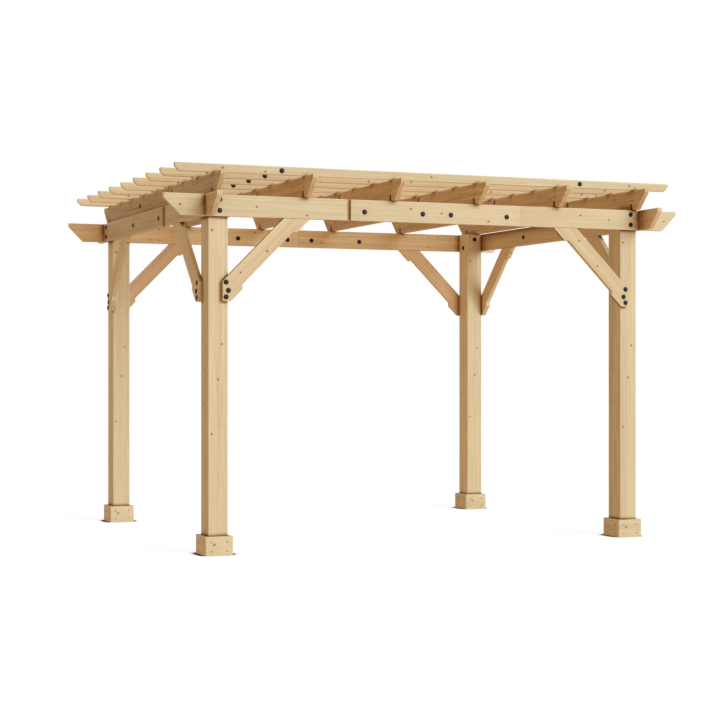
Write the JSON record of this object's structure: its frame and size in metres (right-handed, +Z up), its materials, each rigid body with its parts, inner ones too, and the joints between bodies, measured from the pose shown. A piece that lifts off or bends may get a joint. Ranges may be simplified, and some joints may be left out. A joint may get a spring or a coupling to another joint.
{
  "type": "pergola",
  "caption": "Free-standing open timber pergola: skirted posts, bolted beams lapped at the corners, stepped knee braces, rafters and a deck of purlins for shade.",
  "frame": {"origin": "on the ground, at the middle of the footprint", "axes": "+X along the front to the right, +Y from front to back, +Z up"},
  "size_m": [3.628, 3.05, 2.402],
  "materials": {
    "pine": "planed, light stain, satin",
    "bolts": "black oxide, satin"
  },
  "bodies": {
    "root": {"post_front_left": "pine", "post_front_right": "pine", "post_back_left": "pine", "post_back_right": "pine", "skirt_front_left": "pine", "skirt_front_right": "pine", "skirt_back_left": "pine", "skirt_back_right": "pine", "front_beam_left": "pine", "front_beam_middle": "pine", "front_beam_right": "pine", "back_beam_left": "pine", "back_beam_middle": "pine", "back_beam_right": "pine", "left_beam_front": "pine", "left_beam_rear": "pine", "right_beam_front": "pine", "right_beam_rear": "pine", "brace_front_left": "pine", "brace_front_right": "pine", "brace_back_left": "pine", "brace_back_right": "pine", "brace_left_front": "pine", "brace_right_front": "pine", "brace_left_back": "pine", "brace_right_back": "pine", "rafter_1": "pine", "rafter_2": "pine", "rafter_3": "pine", "rafter_4": "pine", "rafter_5": "pine", "rafter_6": "pine", "purlin_1": "pine", "purlin_2": "pine", "purlin_3": "pine", "purlin_4": "pine", "purlin_5": "pine", "purlin_6": "pine", "purlin_7": "pine", "purlin_8": "pine", "purlin_9": "pine"}
  },
  "joints": []
}
